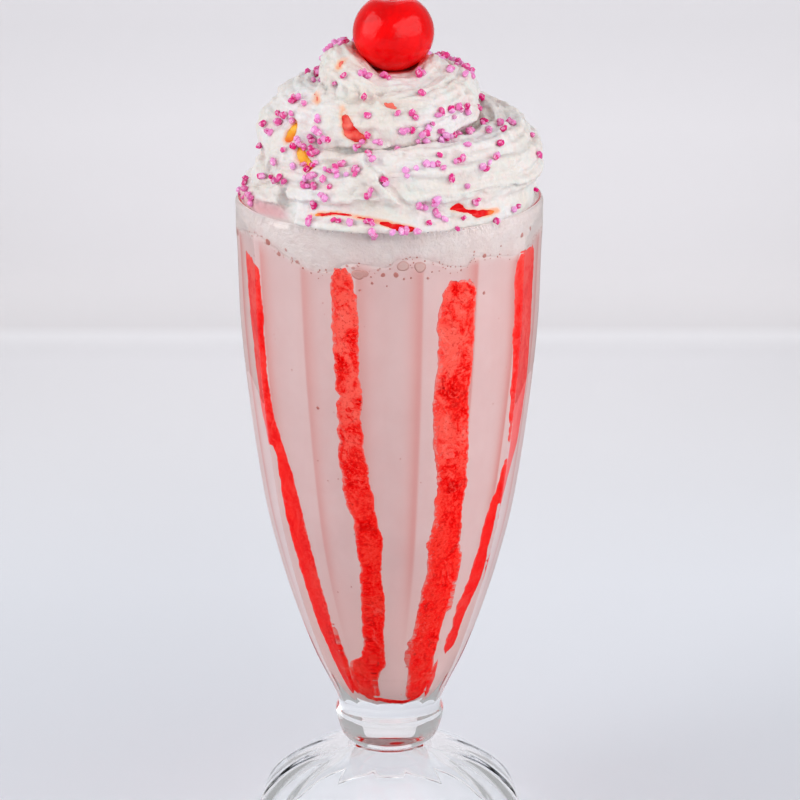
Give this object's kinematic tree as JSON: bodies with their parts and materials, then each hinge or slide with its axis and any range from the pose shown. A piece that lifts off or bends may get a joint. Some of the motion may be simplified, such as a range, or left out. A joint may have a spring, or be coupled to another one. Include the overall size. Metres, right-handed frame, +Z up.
{
  "type": "strawberry milkshake",
  "caption": "Pink milkshake in a tall fluted glass with a domed foot, piped whipped cream heaped over the rim and a cherry on top.",
  "frame": {"origin": "centre of the foot's resting ring, on the surface the glass stands on", "axes": "+Z up the glass's axis, -Y towards the shown front, +X to the right of that front"},
  "size_m": [0.086, 0.086, 0.2398],
  "materials": {
    "clear_glass": "clear pressed glass, polished, fluted outside",
    "milkshake": "opaque pale pink drink, satin",
    "whipped_cream": "soft aerated cream, satin, slightly see-through",
    "cherry": "wet, glossy, slightly see-through red fruit",
    "strawberry_syrup": "thin red fruit syrup with small seeds and pulp",
    "sugar_crystals": "coarse see-through magenta sugar crystals"
  },
  "bodies": {
    "root": {"glass": "clear_glass", "milkshake": "milkshake", "whipped_cream": "whipped_cream", "cherry": "cherry"}
  },
  "joints": []
}
